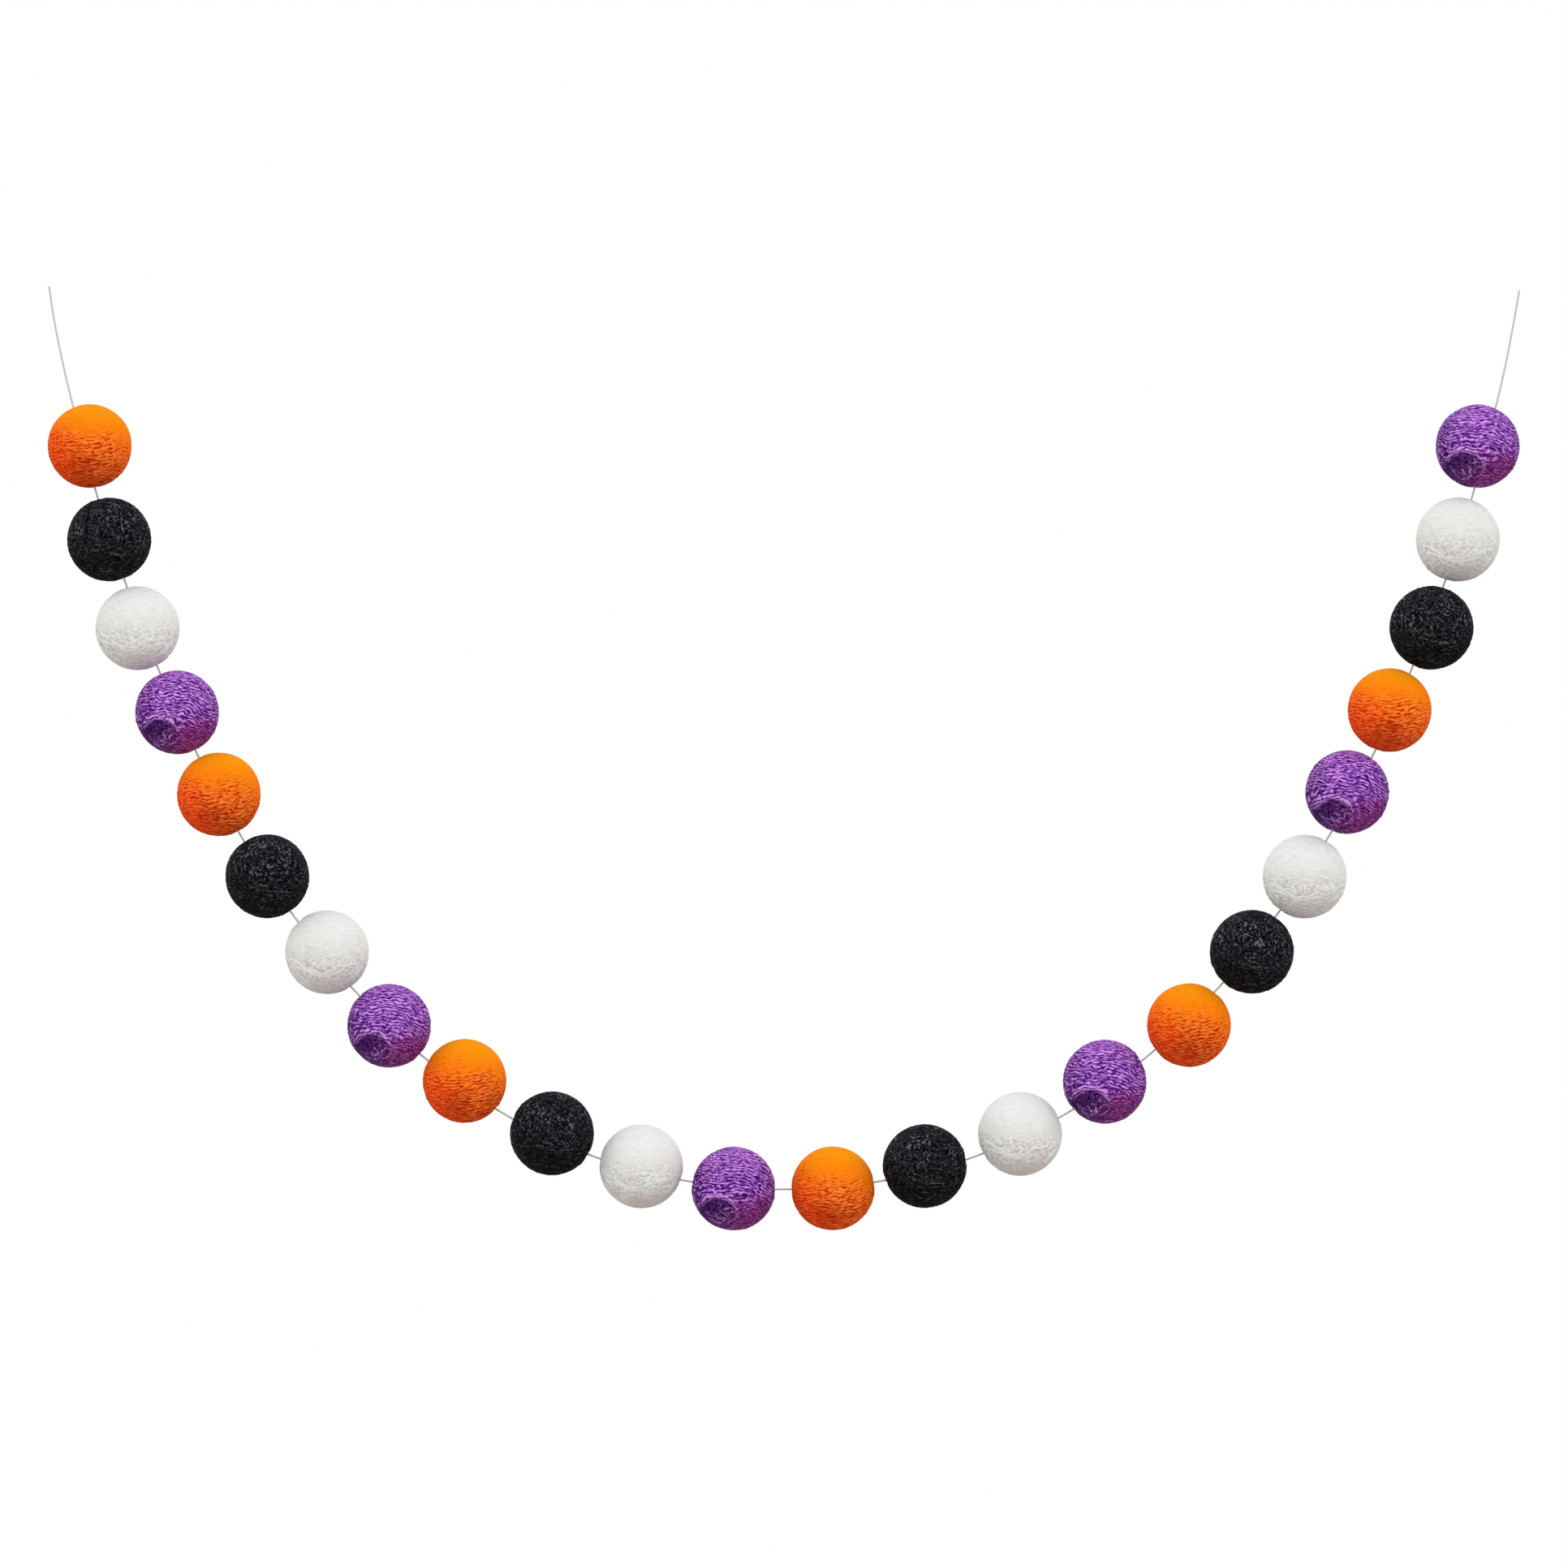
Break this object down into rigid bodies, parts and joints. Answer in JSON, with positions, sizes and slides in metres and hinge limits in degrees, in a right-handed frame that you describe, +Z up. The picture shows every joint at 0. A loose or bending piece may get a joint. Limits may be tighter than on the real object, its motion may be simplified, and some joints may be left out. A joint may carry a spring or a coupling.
{
  "type": "felt ball garland",
  "caption": "Round wool felt balls threaded on one fine string, which hangs in a deep U from its two plain ends.",
  "frame": {"origin": "the left end of the string, where it is fastened to what holds the garland up", "axes": "+X across the garland from its left end to its right end, +Y towards its back, +Z up"},
  "size_m": [0.4403, 0.0248, 0.2822],
  "materials": {
    "felt_orange": "matt orange wool felt with fine wrinkles round the lower half",
    "felt_black": "black wool felt with fine glossy threads",
    "felt_white": "matt off-white wool felt with faint crossing strands",
    "felt_purple": "purple wool felt with silky raised threads",
    "string": "thin plied off-white string"
  },
  "bodies": {
    "root": {"string": "string", "ball_01_orange": "felt_orange", "ball_02_black": "felt_black", "ball_03_white": "felt_white", "ball_04_purple": "felt_purple", "ball_05_orange": "felt_orange", "ball_06_black": "felt_black", "ball_07_white": "felt_white", "ball_08_purple": "felt_purple", "ball_09_orange": "felt_orange", "ball_10_black": "felt_black", "ball_11_white": "felt_white", "ball_12_purple": "felt_purple", "ball_13_orange": "felt_orange", "ball_14_black": "felt_black", "ball_15_white": "felt_white", "ball_16_purple": "felt_purple", "ball_17_orange": "felt_orange", "ball_18_black": "felt_black", "ball_19_white": "felt_white", "ball_20_purple": "felt_purple", "ball_21_orange": "felt_orange", "ball_22_black": "felt_black", "ball_23_white": "felt_white", "ball_24_purple": "felt_purple"}
  },
  "joints": []
}
